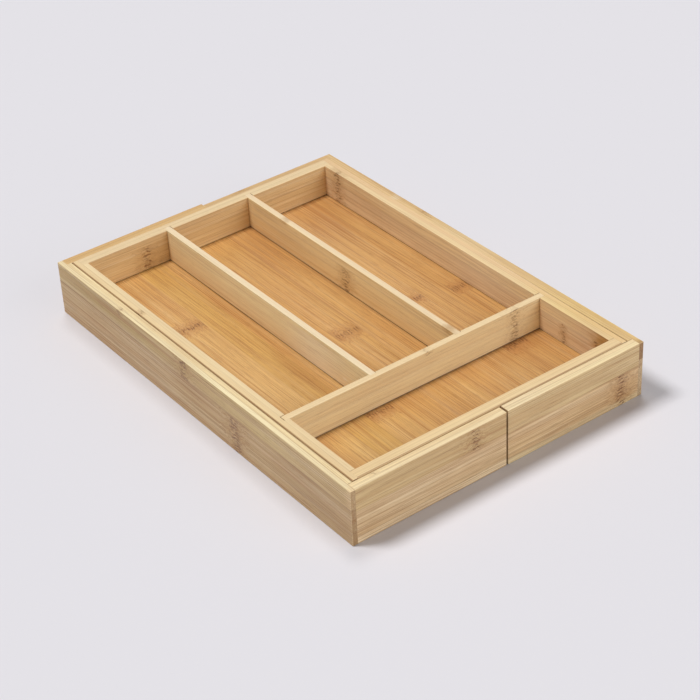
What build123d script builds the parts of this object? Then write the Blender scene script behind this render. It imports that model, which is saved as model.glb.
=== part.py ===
from build123d import *

import os

# An expandable bamboo cutlery tray, closed. An inner tray with four compartments stands
# between two outer trays, which slide out to the left and right and open a compartment each.
# Millimetres. +Z is up, the front is at -Y, and the origin is on the surface it stands on,
# under the middle of the closed tray.

# Overall sizes of the closed tray
closed_width = 250.0
depth = 355.0
height = 44.0

# Board thicknesses, and the sanded edges
outer_wall = 7.6
inner_wall = 8.4
divider_wall = 5.0
floor_thickness = 4.0
edge_ease = 0.5

# Outer trays: how far the left one's rails reach in, the slit left between the rails' free
# ends, how far the floors stand above the table, and how far each tray pulls out
left_reach = 127.6
seam_gap = 1.2
outer_floor_lift = 4.5
travel = 90.0

# The outer trays finish a little below the inner one: the left one all round, and the
# right one more and more towards the rear, so that the two rear rails meet with a step
left_drop = 0.4
right_rear_drop = 2.0

# Inner tray: the running gaps beside it, at its ends and under it, its floor and its
# front compartment
side_gap = 0.6
end_gap = 0.5
under_gap = 0.3
inner_floor_lift = 5.0
front_compartment = 70.0

# Joinery: the lip that a rabbet leaves at the ends of a side wall, the play at the edge of
# a floor panel in its groove, and the thin dark slit that shows above the panel there
lip = 4.0
floor_play = 0.5
groove_slit = 0.4

# Dividers: the housings that take their ends, the play on each side in a housing, the slit
# between a divider and the floor, and the gap at the cross divider's left end
wall_housing = 4.2
cross_housing = 1.5
housing_play = 0.2
divider_slit = 0.4
cross_end_gap = 0.5

# Guide pins: dowels in the inner tray's end walls, each in a stopped groove of a rail
pin_diameter = 4.0
pin_chamfer = 0.4
pin_seat = 4.0
pin_engagement = 3.5
pin_inset = 14.0
pin_height = 27.0
pin_glue_gap = 0.05
guide_clearance = 0.3

# Outer trays, worked out
outer_x = closed_width / 2
outer_y = depth / 2
outer_inside_x = outer_x - outer_wall
outer_inside_y = outer_y - outer_wall
outer_groove = outer_wall - lip
right_reach = closed_width - left_reach - seam_gap
reach = {"left": left_reach, "right": right_reach}
direction = {"left": -1, "right": 1, "front": -1, "rear": 1}
rim_height = {
    ("left", "front"): height - left_drop,
    ("left", "rear"): height - left_drop,
    ("right", "front"): height,
    ("right", "rear"): height - right_rear_drop,
}

# Inner tray, worked out
inner_x = outer_inside_x - side_gap
inner_y = outer_inside_y - end_gap
inside_x = inner_x - inner_wall
inside_y = inner_y - inner_wall
inner_groove = inner_wall - lip
inner_base = outer_floor_lift + floor_thickness + under_gap
inner_floor = inner_base + inner_floor_lift
floor_top = inner_floor + floor_thickness
inner_height = height - inner_base
divider_base = floor_top + divider_slit
divider_height = height - divider_base
groove_height = floor_thickness + groove_slit
cross_front = front_compartment - inside_y
cross_rear = cross_front + divider_wall
compartment = (2 * inside_x - 2 * divider_wall) / 3
divider_offset = (compartment + divider_wall) / 2

# Guide pins, worked out
pin_x = inner_x - pin_inset
pin_length = pin_seat + end_gap + pin_engagement
guide_depth = pin_engagement + guide_clearance
guide_width = pin_diameter + 2 * guide_clearance


def rectangle(low, high, mode=Mode.ADD):
    # A rectangle between two corners, in the sketch that is being drawn
    with Locations(((low[0] + high[0]) / 2, (low[1] + high[1]) / 2)):
        Rectangle(abs(high[0] - low[0]), abs(high[1] - low[1]), mode=mode)


def outer_side_wall(side):
    # A board as long as the tray is deep, level with the rail at each end. A rabbet at
    # each end takes the end of a rail and leaves a lip, and a groove between the rabbets
    # takes the floor.
    way = direction[side]
    face = way * outer_x
    inside = way * outer_inside_x
    milled = way * (outer_x - lip)
    outline = [
        (-outer_y, 0), (outer_y, 0),
        (outer_y, rim_height[side, "rear"]), (-outer_y, rim_height[side, "front"]),
    ]
    with BuildPart() as wall:
        with BuildSketch(Plane.YZ.offset(min(inside, face))):
            Polygon(*outline, align=None)
        extrude(amount=outer_wall)
        fillet(wall.edges(), edge_ease)
        with BuildSketch():
            for turn in (-1, 1):
                rectangle((inside, turn * outer_inside_y), (milled, turn * outer_y))
        extrude(amount=height, mode=Mode.SUBTRACT)
        with BuildSketch(Plane.XY.offset(outer_floor_lift)):
            rectangle((inside, -outer_inside_y), (milled, outer_inside_y))
        extrude(amount=groove_height, mode=Mode.SUBTRACT)
    return wall.part


def outer_rail(side, end):
    # The front or rear of an outer tray, from the side wall's lip to its free end at the
    # seam. Its inner face has the floor's groove, open at the free end, and above it the
    # stopped groove that a guide pin runs in.
    way, turn = direction[side], direction[end]
    butt = way * (outer_x - lip)
    free = way * (outer_x - reach[side])
    face = turn * outer_y
    inside = turn * outer_inside_y
    with BuildPart() as rail:
        with BuildSketch():
            rectangle((free, inside), (butt, face))
        extrude(amount=rim_height[side, end])
        free_end = rail.faces().sort_by(Axis.X)[0 if way > 0 else -1]
        fillet(rail.edges().filter_by(Axis.X) + free_end.edges(), edge_ease)
        with BuildSketch(Plane.XY.offset(outer_floor_lift)):
            rectangle((free, inside), (butt, inside + turn * outer_groove))
        extrude(amount=groove_height, mode=Mode.SUBTRACT)
        inner_face = Plane(
            origin=(way * (pin_x - travel / 2), inside, pin_height),
            x_dir=(1, 0, 0), z_dir=(0, turn, 0),
        )
        with BuildSketch(inner_face):
            SlotCenterToCenter(travel, guide_width)
        extrude(amount=guide_depth, mode=Mode.SUBTRACT)
    return rail.part


def outer_floor(side):
    # A thin panel held in the grooves of the side wall and both rails. Its free edge
    # ends with the rails.
    way = direction[side]
    edge = way * (outer_inside_x + outer_groove - floor_play)
    free = way * (outer_x - reach[side])
    half_depth = outer_inside_y + outer_groove - floor_play
    with BuildPart() as panel:
        with BuildSketch(Plane.XY.offset(outer_floor_lift)):
            rectangle((free, -half_depth), (edge, half_depth))
        extrude(amount=floor_thickness)
        free_end = panel.faces().sort_by(Axis.X)[0 if way > 0 else -1]
        fillet(free_end.edges().filter_by(Axis.Y), edge_ease)
    return panel.part


def inner_side_wall(side):
    # Rabbeted like the outer ones, with the floor's groove and the housing that takes
    # the end of the cross divider
    way = direction[side]
    face = way * inner_x
    inside = way * inside_x
    milled = way * (inner_x - lip)
    with BuildPart() as wall:
        with BuildSketch(Plane.XY.offset(inner_base)):
            rectangle((inside, -inner_y), (face, inner_y))
        extrude(amount=inner_height)
        fillet(wall.edges(), edge_ease)
        with BuildSketch(Plane.XY.offset(inner_base)):
            for turn in (-1, 1):
                rectangle((inside, turn * inside_y), (milled, turn * inner_y))
        extrude(amount=inner_height, mode=Mode.SUBTRACT)
        with BuildSketch(Plane.XY.offset(inner_floor)):
            rectangle((inside, -inside_y), (milled, inside_y))
        extrude(amount=groove_height, mode=Mode.SUBTRACT)
        with BuildSketch(Plane.XY.offset(floor_top)):
            rectangle(
                (inside, cross_front - housing_play),
                (inside + way * wall_housing, cross_rear + housing_play),
            )
        extrude(amount=height - floor_top, mode=Mode.SUBTRACT)
    return wall.part


def inner_end_wall(end):
    # The front or rear of the inner tray, between the side walls' lips. The outer face
    # has a blind hole for each guide pin, and the rear one's inner face has the long
    # dividers' housings.
    turn = direction[end]
    face = turn * inner_y
    inside = turn * inside_y
    half_length = inner_x - lip
    with BuildPart() as wall:
        with BuildSketch(Plane.XY.offset(inner_base)):
            rectangle((-half_length, inside), (half_length, face))
        extrude(amount=inner_height)
        fillet(wall.edges().filter_by(Axis.X), edge_ease)
        with BuildSketch(Plane.XY.offset(inner_floor)):
            rectangle((-half_length, inside), (half_length, inside + turn * inner_groove))
        extrude(amount=groove_height, mode=Mode.SUBTRACT)
        if end == "rear":
            with BuildSketch(Plane.XY.offset(floor_top)):
                for middle in (-divider_offset, divider_offset):
                    rectangle(
                        (middle - divider_wall / 2 - housing_play, inside),
                        (middle + divider_wall / 2 + housing_play, inside + turn * wall_housing),
                    )
            extrude(amount=height - floor_top, mode=Mode.SUBTRACT)
        outer_face = Plane(origin=(0, face, pin_height), x_dir=(1, 0, 0), z_dir=(0, -turn, 0))
        with BuildSketch(outer_face):
            with Locations((-pin_x, 0), (pin_x, 0)):
                Circle(pin_diameter / 2 + pin_glue_gap)
        extrude(amount=pin_seat, mode=Mode.SUBTRACT)
    return wall.part


def inner_floor_panel():
    # One panel under all four compartments, held in the four walls' grooves
    half_width = inside_x + inner_groove - floor_play
    half_depth = inside_y + inner_groove - floor_play
    with BuildPart() as panel:
        with BuildSketch(Plane.XY.offset(inner_floor)):
            rectangle((-half_width, -half_depth), (half_width, half_depth))
        extrude(amount=floor_thickness)
    return panel.part


def cross_divider():
    # Stands across the tray behind the front compartment, let into both side walls. It is
    # a little short at the left, and its rear face has a shallow housing for each long
    # divider.
    half_length = inside_x + wall_housing
    with BuildPart() as divider:
        with BuildSketch(Plane.XY.offset(divider_base)):
            rectangle((cross_end_gap - half_length, cross_front), (half_length, cross_rear))
        extrude(amount=divider_height)
        fillet(divider.edges().filter_by(Axis.X).group_by(Axis.Z)[-1], edge_ease)
        with BuildSketch(Plane.XY.offset(divider_base)):
            for middle in (-divider_offset, divider_offset):
                rectangle(
                    (middle - divider_wall / 2 - housing_play, cross_rear - cross_housing),
                    (middle + divider_wall / 2 + housing_play, cross_rear),
                )
        extrude(amount=divider_height, mode=Mode.SUBTRACT)
    return divider.part


def long_divider(side):
    # Runs from the cross divider's housing to the rear wall's
    middle = direction[side] * divider_offset
    with BuildPart() as divider:
        with BuildSketch(Plane.XY.offset(divider_base)):
            rectangle(
                (middle - divider_wall / 2, cross_rear - cross_housing),
                (middle + divider_wall / 2, inside_y + wall_housing),
            )
        extrude(amount=divider_height)
        fillet(divider.edges().filter_by(Axis.Y).group_by(Axis.Z)[-1], edge_ease)
    return divider.part


def guide_pin(side, end):
    # A short dowel, glued in the inner tray's end wall, that stands out into a rail's groove
    turn = direction[end]
    seat = Plane(
        origin=(direction[side] * pin_x, turn * (inner_y - pin_seat), pin_height),
        x_dir=(1, 0, 0), z_dir=(0, turn, 0),
    )
    with BuildPart() as pin:
        with BuildSketch(seat):
            Circle(pin_diameter / 2)
        extrude(amount=pin_length)
        chamfer(pin.edges().filter_by(GeomType.CIRCLE), pin_chamfer)
    return pin.part


def export(part, name):
    part.label = name
    export_step(part, f"parts/{name}.step")


os.makedirs("parts", exist_ok=True)

for side in ("left", "right"):
    export(outer_side_wall(side), f"{side}_tray_side_wall")
    export(outer_floor(side), f"{side}_tray_floor")
    export(inner_side_wall(side), f"inner_tray_{side}_wall")
    export(long_divider(side), f"long_divider_{side}")
    for end in ("front", "rear"):
        export(outer_rail(side, end), f"{side}_tray_{end}_rail")
        export(guide_pin(side, end), f"guide_pin_{end}_{side}")

for end in ("front", "rear"):
    export(inner_end_wall(end), f"inner_tray_{end}_wall")

export(inner_floor_panel(), "inner_tray_floor")
export(cross_divider(), "cross_divider")

guide_end = pin_x - travel - guide_width / 2
print("opened width", closed_width + 2 * travel)
print("compartment width", round(compartment, 2), "and depth", round(divider_height, 2))
print("wood left past the right guide groove", round(guide_end - (outer_x - right_reach), 2))
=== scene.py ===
import math

import bmesh
import bpy
from mathutils import Matrix, Vector

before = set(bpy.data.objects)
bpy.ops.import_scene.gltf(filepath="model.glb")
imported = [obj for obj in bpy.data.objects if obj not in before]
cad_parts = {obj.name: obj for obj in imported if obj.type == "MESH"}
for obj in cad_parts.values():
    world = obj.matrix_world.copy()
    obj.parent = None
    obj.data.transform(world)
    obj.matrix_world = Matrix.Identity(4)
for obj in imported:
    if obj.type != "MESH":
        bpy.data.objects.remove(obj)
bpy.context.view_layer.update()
print("frame loaded with", len(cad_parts), "boards and dowels")


def linear(hexColour):  # an sRGB hex colour as Blender's linear values
    channels = [int(hexColour[i:i + 2], 16) / 255 for i in (1, 3, 5)]
    return [c / 12.92 if c <= 0.04045 else ((c + 0.055) / 1.055) ** 2.4 for c in channels] + [1.0]


def addNode(tree, kind, inputs, stops=(), **settings):
    # an input is a value, a socket, or a node, which stands for its first output
    node = tree.nodes.new("ShaderNode" + kind)
    for name, value in settings.items():
        setattr(node, name, value)
    for socket, value in inputs.items():
        if isinstance(value, bpy.types.Node):
            value = value.outputs[0]
        if isinstance(value, bpy.types.NodeSocket):
            tree.links.new(value, node.inputs[socket])
        else:
            node.inputs[socket].default_value = value
    for place, hexColour in stops:  # only a colour ramp has stops
        stop = node.color_ramp.elements.new(place)
        stop.color = linear(hexColour)
    if stops:  # the two that a new ramp brings with it
        node.color_ramp.elements.remove(node.color_ramp.elements[-1])
        node.color_ramp.elements.remove(node.color_ramp.elements[0])
    return node


# Moso bamboo, split into strips about 20 mm wide, glued edge to edge and two plies thick, planed
# and sanded, then sealed with a clear satin lacquer. The eye gets long straight fibres, a tone of
# its own for each strip, thin glue lines, brown squiggles where a knuckle of the cane was, and a
# soft sheen.
bamboo = {
    "mmInM": 1000.0,
    "ior": 1.5,                   # wood under lacquer
    "coat": 0.12,                 # share of the lacquer's own gloss
    "coatRoughness": 0.34,
    "roughness": (0.44, 0.60),    # smooth fibre, open pore
    "endRoughness": 0.18,         # how much rougher a sawn end is
    "relief": 0.00012,            # m, depth of the grain after sanding
    "reliefStrength": 0.6,
    "hairDepth": 0.5, "markDepth": 0.6, "glueDepth": 0.8,  # shares of a fibre's depth

    # a pattern: mm along and across the grain, noise where it starts and where it is full,
    # detail of the noise, and a step of the seed that keeps it apart from the others
    "fibre": ((190, 0.85), (0.51, 0.64), 3.0, 0),    # bundles of fibres
    "hair": ((75, 0.42), (0.51, 0.64), 2.0, 5),      # single ones; real are 0.2 mm, too fine
    "streak": ((330, 3.6), (0.48, 0.68), 2.0, 9),    # broad dark streaks
    "pale": ((330, 3.6), (0.50, 0.70), 3.0, 21),     # and light ones
    "dash": ((12, 0.45), (0.60, 0.70), 1.0, 13),     # short dark pores between the fibres
    "drift": ((95, 24), (0.46, 0.74), 2.0, 17),      # slow change of tone over a board
    "scatter": ((3.6, 1.25), (0.50, 0.62), 1.0, 3),  # loose brown marks in a knuckle
    "gap": ((5.0, 2.2), (0.38, 0.50), 1.0, 45),      # where the stacked marks break off
    "eye": ((9.0, 5.5), (0.0, 1.0), 1.0, 37),        # loops and eyes that the fibres draw there
    "ragged": ((5.0, 2.6), (0.0, 1.0), 2.0, 0),      # outline of a knuckle
    "wobble": ((6.0, 3.2), (0.0, 1.0), 2.0, 41),     # unevenness of the stacked marks
    "glueBreak": ((55, 0.9), (0.36, 0.60), 2.0, 25),  # where a glue line shows
    "endPore": ((0.8, 0.8), (0.50, 0.62), 2.0, 29),   # cut fibres that a sawn end shows
    "noiseRoughness": 0.55,

    "bendSize": (120, 40),        # mm, how slowly the fibres wander
    "bend": 1.6,                  # mm that they wander
    "bendStep": 3.1,              # spreads the boards' seeds along the grain
    "stripJump": 700.0,           # mm that may lie between the grain of two strips
    "plyStep": 31.0,              # keeps the numbers of the second ply's strips apart
    "raggedBy": 9.0,              # mm that a knuckle's outline wanders along the board
    "knuckleCore": 0.3,           # share of a knuckle's half length that is fully marked
    "haloReach": 2.4,             # the halo's half length as a share of the knuckle's
    "swirlSize": 7.0,             # mm, eddies of the fibres at a knuckle
    "swirl": 6.0,                 # mm that a knuckle throws them aside
    "dashPitch": 2.7,             # mm from one mark of a knuckle's stack to the next
    "dashLine": (0.13, 0.22),     # pitches from a mark's middle where its fading starts and ends
    "dashBow": 0.06,              # how far a mark is bent
    "dashWobble": 4.0,            # mm that they are out of line
    "dashReach": 0.65,            # length of a mark as a share of the knuckle's
    "dashCore": 0.4,              # share of a mark's length that is fully dark
    "scattered": 0.5,             # how strong the loose marks are beside the stacked ones
    "loops": 3.4,                 # how many rings a loop has
    "ringLine": (0.05, 0.20),     # rings, as for dashLine
    "glueReach": 1.3,             # mm, how far the glue darkens the wood beside a glue line
    "plyReach": (0.1, 0.45),      # mm, the same at the line between the plies
    "squareOn": (0.80, 0.95),     # part of the normal from which a face counts as facing that way
    "arris": (0.80, 0.93),        # below this no face is square on, so it is a rounded arris
    "topAndArris": (0.3, 0.6),    # the same for a seam, which shows on the arris as well
    "edgeKnuckle": 0.4,           # share of a knuckle's marks that the narrow edges keep
    "edgeGrain": 0.50,            # share of the grain's contrast that they keep

    "fibreTint": "#9A6838",
    "hairTint": "#94602F",
    "streakTint": "#B5834F",
    "paleTint": "#F6E6C4",
    "driftTint": "#B57F4C",
    "dashTint": "#7F4F28",
    "glueTint": "#7C4C2C",
    "knuckleTint": "#AC7C44",
    "squiggleTint": "#6E3F14",
    "loopTint": "#845220",
    "endTint": "#7D5C3C",
    "seamTint": "#4A2C22",
    # pale arrises: sanding wear and a painted highlight
    "wornAndHighlightTint": "#F0DDB6",
}
bambooStrength = {  # share of each tint where its pattern is full
    "streak": 0.26, "pale": 0.24, "fibre": 0.30, "hair": 0.24, "dash": 0.16, "drift": 0.24,
    "glue": 0.62, "ply": 0.14, "halo": 0.25, "loop": 0.25, "squiggle": 0.75,
    "end": 0.40, "endDots": 0.45, "wornAndHighlight": 0.30,
}


def inAxes(board, along, across, through):
    sizes = dict(zip(board["axes"], (along, across, through)))
    return [sizes[axis] for axis in "XYZ"]


def grainPattern(tree, board, source, pattern):
    # a noise drawn out along the board
    (length, width), (start, full), detail, step = pattern
    stretched = addNode(tree, "Mapping", {
        "Vector": source, "Location": (board["seed"] + step,) * 3,
        "Scale": inAxes(board, 1 / length, 1 / width, 1 / width)})
    noise = addNode(tree, "TexNoise", {
        "Vector": stretched, "Scale": 1.0, "Detail": detail,
        "Roughness": bamboo["noiseRoughness"]})
    return addNode(tree, "MapRange", {"Value": noise, "From Min": start, "From Max": full})


def stripPatch(tree, here, spot, reach, core):
    # 1 near a place along one strip of one ply, fading to 0 at its reach, and 0 on other strips
    run, across, ply = here
    place, low, high, side = spot[:4]
    off = addNode(tree, "Math", {0: run, 1: place}, operation="SUBTRACT")
    far = addNode(tree, "Math", {0: off}, operation="ABSOLUTE")
    near = addNode(tree, "MapRange", {
        "Value": far, "From Min": reach * core, "From Max": reach,
        "To Min": 1.0, "To Max": 0.0}, interpolation_type="SMOOTHSTEP")
    strip = addNode(tree, "Math", {
        0: across, 1: (low + high) / 2, 2: (high - low) / 2}, operation="COMPARE")
    held = addNode(tree, "Math", {0: near, 1: strip}, operation="MULTIPLY")
    if side is None:  # on both plies
        return held
    layer = addNode(tree, "Math", {0: ply, 1: side, 2: 0.25}, operation="COMPARE")
    return addNode(tree, "Math", {0: held, 1: layer}, operation="MULTIPLY")


def dashStack(tree, here, spot, wobble, look):
    # short bowed marks lying along the grain, stacked over the whole width of the strip
    run, across, ply = here
    off = addNode(tree, "Math", {0: run, 1: spot[0]}, operation="SUBTRACT")
    squared = addNode(tree, "Math", {0: off, 1: off}, operation="MULTIPLY")
    bowed = addNode(tree, "Math", {
        0: squared, 1: look["dashBow"], 2: across}, operation="MULTIPLY_ADD")
    thrown = addNode(tree, "Math", {
        0: wobble, 1: look["dashWobble"], 2: bowed}, operation="MULTIPLY_ADD")
    rows = addNode(tree, "Math", {0: thrown, 1: look["dashPitch"]}, operation="DIVIDE")
    row = addNode(tree, "Math", {0: rows, 1: 0.5}, operation="PINGPONG")
    line = addNode(tree, "MapRange", {
        "Value": row, "From Min": look["dashLine"][0], "From Max": look["dashLine"][1],
        "To Min": 1.0, "To Max": 0.0})
    held = stripPatch(tree, here, spot, spot[4] * look["dashReach"], look["dashCore"])
    return addNode(tree, "Math", {0: line, 1: held}, operation="MULTIPLY")


def joined(tree, masks):  # the largest of some masks, or an even 0 if there are none
    if not masks:
        return addNode(tree, "Value", {})
    result = masks[0]
    for mask in masks[1:]:
        result = addNode(tree, "Math", {0: result, 1: mask}, operation="MAXIMUM")
    return result


def bambooMaterial(board):
    look = dict(bamboo, **board.get("look", {}))
    strength = dict(bambooStrength, **board.get("strength", {}))
    material = bpy.data.materials.new("bamboo_" + board["node"])
    material.use_nodes = True
    tree = material.node_tree
    tree.nodes.clear()
    seed = board["seed"]
    where = addNode(tree, "TexCoord", {})
    inMm = addNode(tree, "Mapping", {
        "Vector": where.outputs["Object"], "Scale": (look["mmInM"],) * 3})
    axes = addNode(tree, "SeparateXYZ", {0: inMm})
    along, across, through = (axes.outputs["XYZ".index(a)] for a in board["axes"])
    turned = addNode(tree, "VectorMath", {0: where.outputs["Normal"]}, operation="ABSOLUTE")
    facing = addNode(tree, "SeparateXYZ", {0: turned})
    endways, edgeways, flatways = (facing.outputs["XYZ".index(a)] for a in board["axes"])

    # strips: which ply and which strip of it this point lies in
    ply = addNode(tree, "Math", {0: through, 1: board["plyLine"]}, operation="GREATER_THAN")
    slid = addNode(tree, "Math", {
        0: ply, 1: board["plyShift"], 2: across}, operation="MULTIPLY_ADD")
    width, firstEdge = board["stripWidth"], board["firstEdge"]
    stripRun = addNode(tree, "Math", {
        0: slid, 1: 1 / width, 2: 1 - firstEdge / width}, operation="MULTIPLY_ADD")
    stripNumber = addNode(tree, "Math", {0: stripRun}, operation="FLOOR")
    stripKey = addNode(tree, "Math", {
        0: ply, 1: look["plyStep"], 2: stripNumber}, operation="MULTIPLY_ADD")
    stripSeed = addNode(tree, "Math", {0: stripKey, 1: seed + 0.5}, operation="ADD")
    chance = addNode(tree, "TexWhiteNoise", {"W": stripSeed}, noise_dimensions="1D")
    tones = board["tones"]
    tonePlace = addNode(tree, "Math", {0: stripRun, 1: 1 / len(tones)}, operation="MULTIPLY")
    tone = addNode(tree, "ValToRGB", {0: tonePlace},
                   stops=[(i / len(tones), t) for i, t in enumerate(tones)])
    tone.color_ramp.interpolation = board.get("toneBlend", "CONSTANT")

    # knuckles: a core with squiggles and a wider halo in which the fibres swerve
    ragged = grainPattern(tree, board, inMm, look["ragged"])
    run = addNode(tree, "Math", {
        0: ragged, 1: look["raggedBy"], 2: along}, operation="MULTIPLY_ADD")
    centred = addNode(tree, "Math", {0: run, 1: look["raggedBy"] / 2}, operation="SUBTRACT")
    here = (centred, across, ply)
    wobble = grainPattern(tree, board, inMm, look["wobble"])
    cores, halos, stacks = [], [], []
    for knuckle in board["knuckles"]:
        reach, full = knuckle[4], look["knuckleCore"]
        stacks.append(dashStack(tree, here, knuckle, wobble, look))
        cores.append(stripPatch(tree, here, knuckle, reach, full))
        halos.append(stripPatch(tree, here, knuckle, reach * look["haloReach"], full))
    core, halo, stack = (joined(tree, bands) for bands in (cores, halos, stacks))

    # fibres: each strip has its own, they wander slowly and swerve round the knuckles
    jump = addNode(tree, "VectorMath", {
        0: chance.outputs["Color"], "Scale": look["stripJump"]}, operation="SCALE")
    bendLong, bendWide = look["bendSize"]
    slowly = addNode(tree, "Mapping", {
        "Vector": inMm, "Location": (seed * look["bendStep"], seed, 0),
        "Scale": inAxes(board, 1 / bendLong, 1 / bendWide, 1 / bendWide)})
    wander = addNode(tree, "TexNoise", {"Vector": slowly, "Scale": 1.0, "Detail": 1.0})
    wanderBy = addNode(tree, "VectorMath", {
        0: wander.outputs["Color"], "Scale": look["bend"]}, operation="SCALE")
    eddies = addNode(tree, "Mapping", {
        "Vector": inMm, "Location": (seed,) * 3, "Scale": (1 / look["swirlSize"],) * 3})
    eddy = addNode(tree, "TexNoise", {"Vector": eddies, "Scale": 1.0, "Detail": 1.0})
    eddyHalf = addNode(tree, "VectorMath", {
        0: eddy.outputs["Color"], 1: (0.5,) * 3}, operation="SUBTRACT")
    swirlHold = addNode(tree, "Math", {0: halo, 1: look["swirl"]}, operation="MULTIPLY")
    swirl = addNode(tree, "VectorMath", {0: eddyHalf, "Scale": swirlHold}, operation="SCALE")
    grainPlace = inMm
    for bend in (jump, wanderBy, swirl):
        grainPlace = addNode(tree, "VectorMath", {0: grainPlace, 1: bend}, operation="ADD")
    fibre, hair, streak, pale, dash, scatter, eye = (
        grainPattern(tree, board, grainPlace, look[name])
        for name in ("fibre", "hair", "streak", "pale", "dash", "scatter", "eye"))
    drift, gap, glueBreak, endPore = (
        grainPattern(tree, board, inMm, look[name])
        for name in ("drift", "gap", "glueBreak", "endPore"))

    # squiggles: stacked brown marks, broken up, with a few loose ones between them
    loose = addNode(tree, "Math", {0: scatter, 1: core}, operation="MULTIPLY")
    thinned = addNode(tree, "Math", {0: loose, 1: look["scattered"]}, operation="MULTIPLY")
    broken = addNode(tree, "Math", {0: stack, 1: gap}, operation="MULTIPLY")
    marks = addNode(tree, "Math", {0: broken, 1: thinned}, operation="MAXIMUM")
    rings = addNode(tree, "Math", {0: eye, 1: look["loops"]}, operation="MULTIPLY")
    ring = addNode(tree, "Math", {0: rings, 1: 0.5}, operation="PINGPONG")
    ringLine = addNode(tree, "MapRange", {
        "Value": ring, "From Min": look["ringLine"][0], "From Max": look["ringLine"][1],
        "To Min": 1.0, "To Max": 0.0})
    loops = addNode(tree, "Math", {0: ringLine, 1: core}, operation="MULTIPLY")

    # patches: stretches of a strip with a tone of their own; on the floor panel some are painted
    # sheen and painted shade
    patches = [(stripPatch(tree, here, patch, patch[4], 0.0), *patch[5:])
               for patch in board.get("patches", [])]

    # glue lines: nearest edge of a strip, broken along its length
    edgeNear = addNode(tree, "Math", {0: stripRun, 1: 0.5}, operation="PINGPONG")
    gluePlace = addNode(tree, "MapRange", {
        "Value": edgeNear, "From Min": 0.0, "From Max": look["glueReach"] / width,
        "To Min": 1.0, "To Max": 0.0}, interpolation_type="SMOOTHSTEP")
    glue = addNode(tree, "Math", {0: gluePlace, 1: glueBreak}, operation="MULTIPLY")

    # narrow edges: both plies show, with the line between them, and less of grain and knuckles
    squareFrom, squareTo = look["squareOn"]
    edgeMask = addNode(tree, "MapRange", {
        "Value": edgeways, "From Min": squareFrom, "From Max": squareTo})
    edgeTone = addNode(tree, "Mix", {
        0: ply, 6: linear(board["edgeTones"][0]), 7: linear(board["edgeTones"][1])},
        data_type="RGBA")
    surface = addNode(tree, "Mix", {
        0: edgeMask, 6: tone, 7: edgeTone.outputs[2]}, data_type="RGBA").outputs[2]
    marksLeft = addNode(tree, "MapRange", {
        "Value": edgeMask, "To Min": 1.0, "To Max": look["edgeKnuckle"]})
    squiggle = addNode(tree, "Math", {0: marks, 1: marksLeft}, operation="MULTIPLY")
    loop = addNode(tree, "Math", {0: loops, 1: marksLeft}, operation="MULTIPLY")
    grainLeft = addNode(tree, "MapRange", {
        "Value": edgeMask, "To Min": 1.0, "To Max": look["edgeGrain"]})
    notEdge = addNode(tree, "Math", {0: 1.0, 1: edgeMask}, operation="SUBTRACT")
    glueOnFace = addNode(tree, "Math", {0: glue, 1: notEdge}, operation="MULTIPLY")
    plyOff = addNode(tree, "Math", {0: through, 1: board["plyLine"]}, operation="SUBTRACT")
    plyFar = addNode(tree, "Math", {0: plyOff}, operation="ABSOLUTE")
    plyNear = addNode(tree, "MapRange", {
        "Value": plyFar, "From Min": look["plyReach"][0], "From Max": look["plyReach"][1],
        "To Min": 1.0, "To Max": 0.0})
    plyLine = addNode(tree, "Math", {0: plyNear, 1: edgeMask}, operation="MULTIPLY")

    # seams: thin dark lines of shadow and old dust where another piece meets this one
    seams = []
    topAndArris = addNode(tree, "MapRange", {
        "Value": edgeways, "From Min": look["topAndArris"][0],
        "From Max": look["topAndArris"][1]})
    for axis, place, half, share, *ownTint in board.get("seams", []):
        seamOff = addNode(tree, "Math", {
            0: (along, across, through)[axis], 1: place}, operation="SUBTRACT")
        seamFar = addNode(tree, "Math", {0: seamOff}, operation="ABSOLUTE")
        seam = addNode(tree, "MapRange", {
            "Value": seamFar, "From Min": half / 2, "From Max": half,
            "To Min": 1.0, "To Max": 0.0})
        if axis == 2:  # at a face of the board, so only its narrow edges show it
            seam = addNode(tree, "Math", {0: seam, 1: topAndArris}, operation="MULTIPLY")
        seams.append((seam, ownTint[0] if ownTint else look["seamTint"], share))

    # sawn ends, and arrises painted pale: partly sanding wear, partly a painted highlight where
    # they catch the light
    endMask = addNode(tree, "MapRange", {
        "Value": endways, "From Min": squareFrom, "From Max": squareTo})
    endDots = addNode(tree, "Math", {0: endPore, 1: endMask}, operation="MULTIPLY")
    widest = addNode(tree, "Math", {0: endways, 1: edgeways}, operation="MAXIMUM")
    flattest = addNode(tree, "Math", {0: widest, 1: flatways}, operation="MAXIMUM")
    wornAndHighlight = addNode(tree, "MapRange", {
        "Value": flattest, "From Min": look["arris"][0], "From Max": look["arris"][1],
        "To Min": 1.0, "To Max": 0.0})

    # the layers, from the strip's own tone up
    grain = []
    for name, mask in (("drift", drift), ("streak", streak), ("pale", pale),
                       ("fibre", fibre), ("hair", hair), ("dash", dash)):
        held = addNode(tree, "Math", {0: mask, 1: grainLeft}, operation="MULTIPLY")
        grain.append((held, look[name + "Tint"], strength[name]))
    for mask, tint, share in (
            *patches,
            *grain,
            (glueOnFace, look["glueTint"], strength["glue"]),
            (plyLine, look["glueTint"], strength["ply"]),
            (halo, look["knuckleTint"], strength["halo"]),
            (loop, look["loopTint"], strength["loop"]),
            (squiggle, look["squiggleTint"], strength["squiggle"]),
            (endMask, look["endTint"], strength["end"]),
            (endDots, look["squiggleTint"], strength["endDots"]),
            (wornAndHighlight, look["wornAndHighlightTint"], strength["wornAndHighlight"]),
            *seams):
        amount = addNode(tree, "Math", {0: mask, 1: share}, operation="MULTIPLY")
        surface = addNode(tree, "Mix", {
            0: amount, 6: surface, 7: linear(tint)}, data_type="RGBA").outputs[2]

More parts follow.
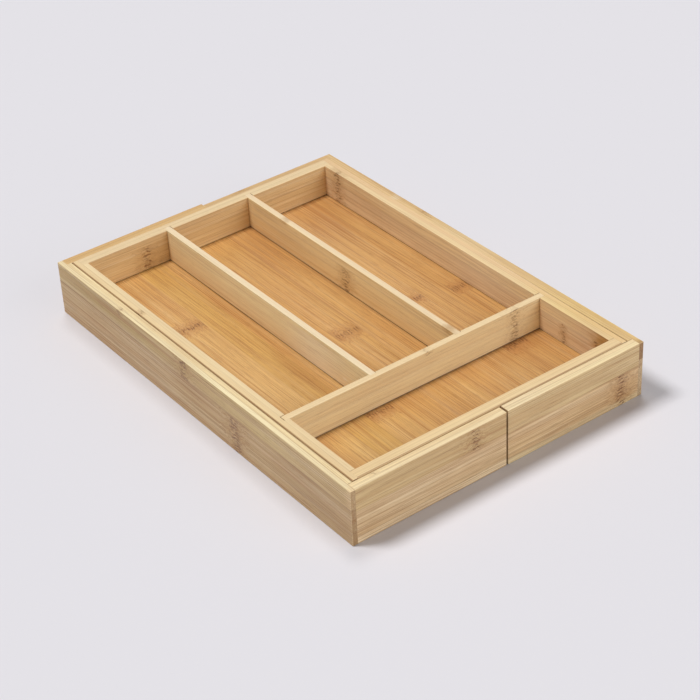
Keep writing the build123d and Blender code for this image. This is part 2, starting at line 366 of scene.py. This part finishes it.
    gloss = addNode(tree, "MapRange", {
        "Value": fibre, "To Min": look["roughness"][0], "To Max": look["roughness"][1]})
    rough = addNode(tree, "Math", {
        0: endMask, 1: look["endRoughness"], 2: gloss}, operation="MULTIPLY_ADD")
    depth = addNode(tree, "Math", {
        0: hair, 1: look["hairDepth"], 2: fibre}, operation="MULTIPLY_ADD")
    pitted = addNode(tree, "Math", {
        0: squiggle, 1: look["markDepth"], 2: depth}, operation="MULTIPLY_ADD")
    jointed = addNode(tree, "Math", {
        0: glueOnFace, 1: look["glueDepth"], 2: pitted}, operation="MULTIPLY_ADD")
    height = addNode(tree, "Math", {0: jointed, 1: -1.0}, operation="MULTIPLY")
    relief = addNode(tree, "Bump", {
        "Strength": look["reliefStrength"], "Distance": look["relief"], "Height": height})
    shader = addNode(tree, "BsdfPrincipled", {
        "Base Color": surface, "Roughness": rough, "IOR": look["ior"],
        "Coat Weight": look["coat"], "Coat Roughness": look["coatRoughness"],
        "Normal": relief})
    addNode(tree, "OutputMaterial", {"Surface": shader})
    return material


def dressBoard(board):
    finish = bambooMaterial(board)
    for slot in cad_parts[board["node"]].material_slots:
        slot.material = finish
    print("finished", board["node"])


# A board's axes name the directions along the grain, across the strips and through the plies.
# Places are in mm in the tray's own frame. A glue line lies at firstEdge, the tones go upwards
# from the strip below it, the two plies meet at plyLine, and the glue lines of the second ply
# lie lower by plyShift. The narrow edges have a tone for each ply.
# A knuckle is: place along the board, low and high edge of its strip, ply (0, 1 or None for
# both), and half its length.
# A patch is: place, low and high edge, ply, reach along the board, tint, and its share there.
# A seam is: axis (1 across the strips, 2 through the plies), place, half its width, share, and a
# tint if it has one of its own.
leftFrontRail = {
    "node": "left_tray_front_rail", "axes": "XZY", "seed": 3.0,
    "firstEdge": 5.3, "stripWidth": 20.7, "plyLine": -173.6, "plyShift": 9.0,
    # the lowest strip is painted lighter than the rest: painted light that cancels the shade near
    # the floor
    "tones": ["#F9E1B6", "#E1C497", "#D1B37F", "#DAB986", "#E3C192"],
    "edgeTones": ["#F8E2B3", "#F6DCAA"],
    "knuckles": [(-24.5, 26, 43.3, 0, 6.5), (-102, 38, 44, 1, 2.5)],
    "patches": [(-27, 26, 43.3, 0, 17, "#A98556", 0.08), (-80, 5.3, 26, 0, 30, "#E2C9A2", 0.22),
                (-114, 5.3, 26, 0, 22, "#A8814F", 0.16)],
    "strength": {"glue": 0.30, "squiggle": 0.80, "loop": 0.2, "halo": 0.12, "fibre": 0.46,
                 "hair": 0.44, "streak": 0.40, "dash": 0.26},
}
rightFrontRail = {
    "node": "right_tray_front_rail", "axes": "XZY", "seed": 11.0,
    "firstEdge": 4.0, "stripWidth": 21.3, "plyLine": -173.6, "plyShift": 8.0,
    # the lowest strip is painted lighter than the rest: painted light that cancels the shade near
    # the floor
    "tones": ["#F9E5B3", "#E0BF8D", "#D8BB87", "#D9B785", "#E3C192"],
    "edgeTones": ["#F5DFAE", "#F4DAA9"],
    "knuckles": [(105.5, 4, 25.3, 0, 7.0), (107, -17, 4, 0, 5.0)],
    "patches": [(106, 4, 25.3, 0, 20, "#C8965C", 0.36), (40, 4, 25.3, 0, 30, "#E0C49C", 0.15),
                (18, 43.5, 47, None, 45, "#FFF0CC", 0.25)],
    "strength": {"glue": 0.30, "squiggle": 1.0, "loop": 0.3, "fibre": 0.46, "hair": 0.44,
                 "streak": 0.40, "dash": 0.26},
}
leftSideWall = {
    "node": "left_tray_side_wall", "axes": "YZX", "seed": 19.0,
    "firstEdge": 10.0, "stripWidth": 18.3, "plyLine": -121.4, "plyShift": 7.0,
    # its outer face is darker and greyer than the other boards: partly the board's own tone,
    # partly painted shade on that face
    "tones": ["#C9AA7A", "#C9AA7A", "#D2B77D", "#C3A572", "#CBAB7F"],
    "edgeTones": ["#F9E8BA", "#F9E3AF"],
    "knuckles": [(10.5, 28.3, 43.4, 0, 6.5), (-48.6, 10, 28.3, 0, 9.0), (-50.6, -8.3, 10, 0, 7.5),
                 (92.5, 40, 44, 0, 3.0)],
    "patches": [(110, 28.3, 43.5, 0, 100, "#A17C34", 0.48),
                (-140, 28.3, 46.6, 0, 80, "#E6D0A4", 0.30),
                (-178, 28.3, 46.6, None, 9, "#EBCB9A", 0.7),
                (120, 43.5, 47.5, None, 120, "#FFE7B2", 0.32),
                (20, 28.3, 43.4, 0, 18, "#A08559", 0.22), (-60, 10, 28.3, 0, 22, "#A58464", 0.08),
                (-135, 10, 28.3, 0, 60, "#8F6E4C", 0.26),
                (-160, -8.3, 10, 0, 40, "#8F6E4C", 0.20), (60, -8.3, 28.3, 0, 60, "#E2CBA8", 0.2),
                (-47, 12, 21, 0, 3.5, "#E3C79B", 0.4)],
    "strength": {"glue": 0.45, "squiggle": 0.8, "loop": 0.5, "halo": 0.22, "fibre": 0.58,
                 "hair": 0.52, "streak": 0.50, "dash": 0.3, "endDots": 0.12},
}
rightSideWall = {
    "node": "right_tray_side_wall", "axes": "YZX", "seed": 27.0,
    "firstEdge": 7.5, "stripWidth": 20.0, "plyLine": 121.2, "plyShift": 10.0,
    "tones": ["#C1A175", "#C5A676", "#C2A372", "#C7A777", "#C1A175"],
    "edgeTones": ["#E6C58D", "#E0BE83"],
    "knuckles": [(-96, 7.5, 27.5, 1, 5.5), (54, 27.5, 43.4, 1, 5.0)],
    "patches": [(-178, -12.5, 30.7, None, 8, "#F8DDB0", 0.85),
                (-178, 30.7, 47.5, None, 8, "#7C5122", 0.52),
                (88, 41.2, 47.5, None, 6, "#FBF0CF", 0.4),
                (5, 41.2, 47.5, None, 60, "#F4E2BC", 0.20),
                (125, 41.2, 47.5, None, 80, "#CF9E63", 0.24),
                (-125, 41.2, 47.5, None, 80, "#E6C534", 0.18)],
    "strength": {"glue": 0.45, "squiggle": 0.8, "loop": 0.4, "halo": 0.3, "fibre": 0.54,
                 "hair": 0.50, "streak": 0.45, "dash": 0.3, "endDots": 0.12},
}
leftRearRail = {
    "node": "left_tray_rear_rail", "axes": "XZY", "seed": 35.0,
    "firstEdge": 8.8, "stripWidth": 20.4, "plyLine": 173.6, "plyShift": 8.0,
    "tones": ["#E1BE90", "#E5C28D", "#E3BF8B", "#E6C491", "#E1BE90"],
    "edgeTones": ["#DAB376", "#D5AC6F"],
    "knuckles": [(-71, 8.8, 29.2, 1, 5.5)],
    "strength": {"glue": 0.35, "squiggle": 0.8, "fibre": 0.34, "hair": 0.32, "streak": 0.3},
}
rightRearRail = {
    "node": "right_tray_rear_rail", "axes": "XZY", "seed": 43.0,
    "firstEdge": 6.2, "stripWidth": 20.6, "plyLine": 173.6, "plyShift": 9.0,
    "tones": ["#E1BE90", "#E3BF8B", "#E7C592", "#E4C18D", "#E1BE90"],
    "edgeTones": ["#DBB781", "#D7B179"],
    "knuckles": [(38, 26.8, 47.4, 1, 5.0)],
    "strength": {"glue": 0.35, "squiggle": 0.8, "fibre": 0.34, "hair": 0.32, "streak": 0.3},
}
innerLeftWall = {
    "node": "inner_tray_left_wall", "axes": "YZX", "seed": 51.0,
    "firstEdge": 9.0, "stripWidth": 20.2, "plyLine": -112.6, "plyShift": 8.0,
    "tones": ["#ECCB99", "#F0D09F", "#EDCC98", "#EFCF9D", "#ECCB99"],
    "edgeTones": ["#EFD4A1", "#F1D8A8"],
    "knuckles": [(79, 34, 44.5, 0, 3.0), (-20, 9, 29.2, 1, 5.0)],
    "seams": [(1, 18.0, 0.5, 0.7), (2, -116.9, 0.75, 0.62, "#8A4E1C")],
    "strength": {"glue": 0.22, "streak": 0.16},
}
innerRightWall = {
    "node": "inner_tray_right_wall", "axes": "YZX", "seed": 59.0,
    "firstEdge": 14.0, "stripWidth": 20.4, "plyLine": 112.6, "plyShift": 11.0,
    "tones": ["#E9CCA2", "#EACDA3", "#F7DBAA", "#F5D8A8", "#F2D2A6"],
    "edgeTones": ["#EED09D", "#EAC795"],
    "knuckles": [(145, 14, 54, 0, 5.5), (-116, 14, 25, 0, 3.5), (-116, 25, 34, 0, 2.5),
                 (-149, 16, 36, 0, 3.0)],
    "patches": [(-145, 14, 44.5, 0, 30, "#CEAA98", 0.26), (-28, 14, 43.5, 0, 50, "#FFEBCB", 0.30),
                (120, 14, 43.5, 0, 60, "#B98A58", 0.12),
                (-125, 43.4, 47.5, None, 80, "#EECE38", 0.20),
                (-157, 30, 43.6, 0, 21, "#B47D18", 0.88)],
    "seams": [(1, 18.0, 0.5, 0.7)],
    "strength": {"glue": 0.22, "streak": 0.16},
}
innerFrontWall = {
    "node": "inner_tray_front_wall", "axes": "XZY", "seed": 67.0,
    "firstEdge": 12.0, "stripWidth": 20.4, "plyLine": -165.2, "plyShift": 10.0,
    "tones": ["#EECC9A", "#F0D09E", "#EFCF9B", "#EECC9A"],
    "edgeTones": ["#EFD29D", "#EED19E"],
    "knuckles": [(-31, 12, 32.4, 1, 5.0)],
    "seams": [(1, 18.0, 0.5, 0.7), (2, -169.0, 0.75, 0.55, "#7E4A1C")],
    "strength": {"glue": 0.22, "streak": 0.16},
}
innerRearWall = {
    "node": "inner_tray_rear_wall", "axes": "XZY", "seed": 75.0,
    "firstEdge": 13.0, "stripWidth": 20.4, "plyLine": 165.2, "plyShift": 9.0,
    "tones": ["#DCBB87", "#DFBE88", "#E2C28E", "#DFBE88"],
    "edgeTones": ["#ECD2A3", "#EBD0A1"],
    "knuckles": [(-59, 17, 38, 0, 6.5)],
    "seams": [(1, 18.0, 0.5, 0.7)],
    "strength": {"glue": 0.22, "streak": 0.16},
}
crossDivider = {
    "node": "cross_divider", "axes": "XZY", "seed": 83.0,
    "firstEdge": 12.5, "stripWidth": 20.6, "plyLine": -80.0, "plyShift": 0.0,
    "tones": ["#EFDAAB", "#EFDAAB", "#EFD7A7", "#EFD6A7"],
    "edgeTones": ["#EFD3A3", "#EFD3A3"],
    "knuckles": [(85, 12, 54, None, 6.0), (7, 41, 44.5, None, 3.0)],
    "seams": [(1, 18.4, 0.5, 0.8)],
    "strength": {"glue": 0.08, "streak": 0.12, "fibre": 0.14, "hair": 0.18, "drift": 0.06,
                 "halo": 0.05, "squiggle": 0.55},
}
longDividerLeft = {
    "node": "long_divider_left", "axes": "YZX", "seed": 91.0,
    "firstEdge": 16.0, "stripWidth": 20.4, "plyLine": 0.0, "plyShift": 0.0, "toneBlend": "LINEAR",
    "tones": ["#E8C896", "#E7C794", "#F9E6B7", "#F9E5B4"],
    "edgeTones": ["#F3DCB5", "#F3DCB5"],
    "knuckles": [],
    "patches": [(-58.5, 24.6, 26.2, None, 4, "#FFF8EC", 0.45),
                (-25, 17, 41.5, None, 50, "#FFF5DE", 0.40),
                (135, 17, 41.5, None, 80, "#BC8C56", 0.14)],
    "seams": [(1, 18.4, 0.5, 0.8)],
    "strength": {"glue": 0.03, "streak": 0.08, "fibre": 0.18, "hair": 0.22, "drift": 0.0,
                 "dash": 0.14},
}
longDividerRight = {
    "node": "long_divider_right", "axes": "YZX", "seed": 99.0,
    "firstEdge": 17.5, "stripWidth": 20.6, "plyLine": 90.0, "plyShift": 0.0, "toneBlend": "LINEAR",
    "tones": ["#E8C389", "#E7C287", "#F7DCA6", "#F7DAA4"],
    "edgeTones": ["#F1D8AF", "#F1D8AF"],
    "knuckles": [(37.7, 17.5, 38.1, None, 6.5)],
    "patches": [(120, 17, 41.5, None, 85, "#A8743C", 0.15),
                (114, 41.5, 44.5, None, 7, "#A9793F", 0.40),
                (-78, 41, 44.5, None, 7, "#A9793F", 0.50),
                (-82, 38, 44.5, None, 12, "#C39A5C", 0.30)],
    "seams": [(1, 18.4, 0.5, 0.8)],
    "strength": {"glue": 0.15, "streak": 0.16, "fibre": 0.20, "hair": 0.20, "drift": 0.10},
}
# the floor panel is darker: its strips are steamed bamboo, golden to orange
floorPanel = {
    "node": "inner_tray_floor", "axes": "YXZ", "seed": 107.0,
    "firstEdge": -109.3, "stripWidth": 20.3, "plyLine": 90.0, "plyShift": 0.0,
    "tones": ["#D9AA65", "#DFB36E", "#E3B873", "#DDB064", "#DEB06C", "#DCAC67", "#DBAA65",
              "#DEAE6B", "#D9A866", "#DBAB69", "#D7A665", "#DAA967", "#D8A765"],
    "edgeTones": ["#D9AF78", "#D9AF78"],
    "knuckles": [(73.5, -89, -68.7, None, 5.5), (-5.3, -7.8, 12.5, None, 6.0),
                 (-2.8, 53.1, 73.4, None, 4.0), (-11.5, 93.7, 114, None, 5.0),
                 (-95.3, -48.4, -28.1, None, 5.0), (-94, 73.4, 93.7, None, 6.0)],
    "look": {"roughness": (0.42, 0.55), "glueReach": 0.7,
             "fibre": ((210, 0.7), (0.51, 0.64), 3.0, 0),
             "hair": ((60, 0.42), (0.51, 0.64), 2.0, 5), "dashPitch": 2.2, "dashBow": 0.02,
             "fibreTint": "#9E5F2A", "hairTint": "#8F5424", "streakTint": "#C08443",
             "driftTint": "#BF7C3C", "dashTint": "#8A5020", "knuckleTint": "#A86A38",
             "squiggleTint": "#6C3A18"},
    "strength": {"streak": 0.22, "pale": 0.10, "fibre": 0.44, "hair": 0.44, "dash": 0.30,
                 "glue": 0.22, "halo": 0.32, "loop": 0.22, "squiggle": 0.74},
    # lighter patches in the middle of the compartments are partly a painted sheen, and darker ones
    # towards the rear wall partly painted shade; the rest are the strips' own tones
    "patches": [(-50, -68.7, -48.4, None, 95, "#BF9058", 0.30),
                (60, -48.4, -28.1, None, 110, "#C67F33", 0.25),
                (-25, -57, -48.4, None, 75, "#A2662E", 0.22),
                (-30, -48.4, -41, None, 60, "#A86C34", 0.16),
                (110, -109.3, -68.7, None, 60, "#C98A4E", 0.25),
                (-20, -89, -68.7, None, 70, "#E3B878", 0.25),
                (120, 12.5, 32.8, None, 70, "#C8873F", 0.25),
                (40, -7.8, 12.5, None, 60, "#E0B67C", 0.22),
                (130, 53.1, 93.7, None, 50, "#C58A58", 0.25),
                (0, 32.8, 73.4, None, 80, "#DDAF74", 0.2),
                (-125, -28.1, 12.5, None, 45, "#C98440", 0.12),
                (-125, 32.8, 53.1, None, 45, "#C8803A", 0.1),
                (135, -109.3, -48.4, None, 60, "#BC864C", 0.24),
                (135, -34, 114, None, 78, "#A87038", 0.18),
                # these last two darken the floor just in front of the cross divider: painted shade
                # at its foot
                (-104, 53.1, 114, None, 22, "#A0622E", 0.18),
                (-95, -114, 114, None, 17, "#945F30", 0.26)],
}
leftOuterFloor = {
    "node": "left_tray_floor", "axes": "YXZ", "seed": 115.0,
    "firstEdge": -118.0, "stripWidth": 20.3, "plyLine": 90.0, "plyShift": 0.0,
    "tones": ["#D3A468", "#D9AD72", "#D4A163", "#D8AA70", "#D6A66A", "#D2A066", "#D7A86C"],
    "edgeTones": ["#D9AF78", "#D9AF78"],
    "knuckles": [(-64, -97.7, -77.4, None, 5.5), (41, -57.1, -36.8, None, 5.5),
                 (118, -36.8, -16.5, None, 5.0)],
    "look": {"roughness": (0.42, 0.55), "glueReach": 0.8, "fibreTint": "#A06430",
             "hairTint": "#935828"},
    "strength": {"glue": 0.30, "pale": 0.14, "fibre": 0.34, "hair": 0.32, "dash": 0.2,
                 "squiggle": 0.7},
}
rightOuterFloor = {
    "node": "right_tray_floor", "axes": "YXZ", "seed": 123.0,
    "firstEdge": -3.0, "stripWidth": 20.3, "plyLine": 90.0, "plyShift": 0.0,
    "tones": ["#D6A66A", "#D3A468", "#D8AA70", "#D4A163", "#D9AD72", "#D2A066", "#D7A86C"],
    "edgeTones": ["#D9AF78", "#D9AF78"],
    "knuckles": [(57, 17.3, 37.6, None, 5.5), (-102, 57.9, 78.2, None, 5.5)],
    "look": {"roughness": (0.42, 0.55), "glueReach": 0.8, "fibreTint": "#A06430",
             "hairTint": "#935828"},
    "strength": {"glue": 0.30, "pale": 0.14, "fibre": 0.34, "hair": 0.32, "dash": 0.2,
                 "squiggle": 0.7},
}
for board in (leftFrontRail, rightFrontRail, leftSideWall, rightSideWall, leftRearRail,
              rightRearRail, innerLeftWall, innerRightWall, innerFrontWall, innerRearWall,
              crossDivider, longDividerLeft, longDividerRight, floorPanel, leftOuterFloor,
              rightOuterFloor):
    dressBoard(board)

# four bamboo dowels, turned, so the grain runs along them and no strips show: one strip and one
# ply, both wider than the tray
dowels = {
    "axes": "YZX", "seed": 131.0, "seedStep": 7,
    "firstEdge": -200.0, "stripWidth": 900.0, "plyLine": 900.0, "plyShift": 0.0,
    "tones": ["#DCB886", "#DCB886"],
    "edgeTones": ["#DCB886", "#DCB886"],
    "knuckles": [],
}
for number, spot in enumerate(("front_left", "front_right", "rear_left", "rear_right")):
    dressBoard(dict(dowels, node="guide_pin_" + spot,
                    seed=dowels["seed"] + dowels["seedStep"] * number))

# studio: a pale matt floor and an even pale sky. The tray has a soft key from above on the left
# and a weak low fill from the front. The floor has softboxes of its own, so that the tray throws
# one soft shadow to the front and right. Light linking keeps the two sets apart.
studio = {
    "floorColour": "#E4E2E7",
    "floorSize": 12.0,         # m
    "sky": 0.24,               # share of the light on a level floor that comes from the sky
    # a softbox: name, direction that it shines from, its share of the light on a level floor,
    # and the angle that it fills, in degrees
    "traySoftboxes": [("key_softbox", (-0.40, 0.10, 0.911), 0.58, 12.0),
                      ("fill_softbox", (0.28, -0.83, 0.45), 0.21, 40.0)],
    "floorSoftboxes": [("floor_key", (-0.40, 0.31, 0.863), 0.52, 17.0),
                       ("floor_side", (0.18, 0.30, 0.937), 0.19, 17.0),
                       ("floor_fill", (0.28, -0.83, 0.45), 0.05, 40.0)],
}
floorMesh = bpy.data.meshes.new("studio_floor")
sheet = bmesh.new()
bmesh.ops.create_grid(sheet, x_segments=1, y_segments=1, size=studio["floorSize"] / 2)
sheet.to_mesh(floorMesh)
sheet.free()
studioFloor = bpy.data.objects.new("studio_floor", floorMesh)
bpy.context.scene.collection.objects.link(studioFloor)
# matt background paper: the eye gets its pale tone and the tray's soft shadow, and no sheen
paper = bpy.data.materials.new("matt_paper")
paper.use_nodes = True
paper.node_tree.nodes.clear()
paperShader = addNode(paper.node_tree, "BsdfPrincipled", {
    "Base Color": linear(studio["floorColour"]), "Roughness": 1.0, "Specular IOR Level": 0.0})
addNode(paper.node_tree, "OutputMaterial", {"Surface": paperShader})
floorMesh.materials.append(paper)

world = bpy.data.worlds.new("studio_sky")
bpy.context.scene.world = world
world.use_nodes = True
sky = world.node_tree
sky.nodes.clear()
path = addNode(sky, "LightPath", {})
seenDirectly = addNode(sky, "Math", {
    0: path.outputs["Is Camera Ray"], 1: path.outputs["Is Glossy Ray"]}, operation="MAXIMUM")
seen = addNode(sky, "Math", {
    0: seenDirectly, 1: path.outputs["Is Transmission Ray"]}, operation="MAXIMUM")
skyLight = addNode(sky, "Background", {"Color": linear("#FFFFFF"), "Strength": studio["sky"]})
backdrop = addNode(sky, "Background", {
    "Color": linear(studio["floorColour"]), "Strength": 1.0})
skyMix = addNode(sky, "MixShader", {0: seen, 1: skyLight, 2: backdrop})
addNode(sky, "OutputWorld", {"Surface": skyMix})

floorLit, floorLeftOut = (
    bpy.data.collections.new(name) for name in ("floor_lit", "floor_left_out"))
for group in (floorLit, floorLeftOut):
    group.objects.link(studioFloor)
floorLeftOut.collection_objects[0].light_linking.link_state = "EXCLUDE"
for group, softboxes in ((floorLeftOut, studio["traySoftboxes"]),
                         (floorLit, studio["floorSoftboxes"])):
    for name, fromDirection, share, angle in softboxes:
        direction = Vector(fromDirection).normalized()
        sun = bpy.data.lights.new(name, "SUN")
        sun.energy = share * math.pi / direction.z
        sun.angle = math.radians(angle)
        lamp = bpy.data.objects.new(name, sun)
        lamp.rotation_euler = direction.to_track_quat("Z", "Y").to_euler()
        lamp.light_linking.receiver_collection = group
        bpy.context.scene.collection.objects.link(lamp)
print("studio lit")

viewpoint = {
    "azimuth": -35.6052, "elevation": 34.4679, "roll": -3.0505,      # degrees
    "distance": 1.42844, "aimRight": 0.0063618, "aimUp": 0.0009682,  # m
    "lens": 102.36, "sensor": 36.0,                                  # mm
    "clip": (0.02, 60.0),                                            # m
}
turn, lift = math.radians(viewpoint["azimuth"]), math.radians(viewpoint["elevation"])
lean = math.radians(viewpoint["roll"])
towards = Vector((
    math.sin(turn) * math.cos(lift), -math.cos(turn) * math.cos(lift), math.sin(lift)))
levelRight = Vector((math.cos(turn), math.sin(turn), 0))
levelUp = towards.cross(levelRight)
cameraRight = math.cos(lean) * levelRight + math.sin(lean) * levelUp
cameraUp = math.cos(lean) * levelUp - math.sin(lean) * levelRight
eye = (towards * viewpoint["distance"] + viewpoint["aimRight"] * cameraRight
       + viewpoint["aimUp"] * cameraUp)
lens = bpy.data.cameras.new("photo_camera")
lens.lens = viewpoint["lens"]
lens.sensor_width = viewpoint["sensor"]
lens.clip_start, lens.clip_end = viewpoint["clip"]
camera = bpy.data.objects.new("photo_camera", lens)
bpy.context.scene.collection.objects.link(camera)
place = Matrix((cameraRight, cameraUp, towards)).transposed().to_4x4()
place.translation = eye
camera.matrix_world = place
bpy.context.scene.camera = camera
bpy.context.scene.view_settings.view_transform = "Standard"
print("camera set")
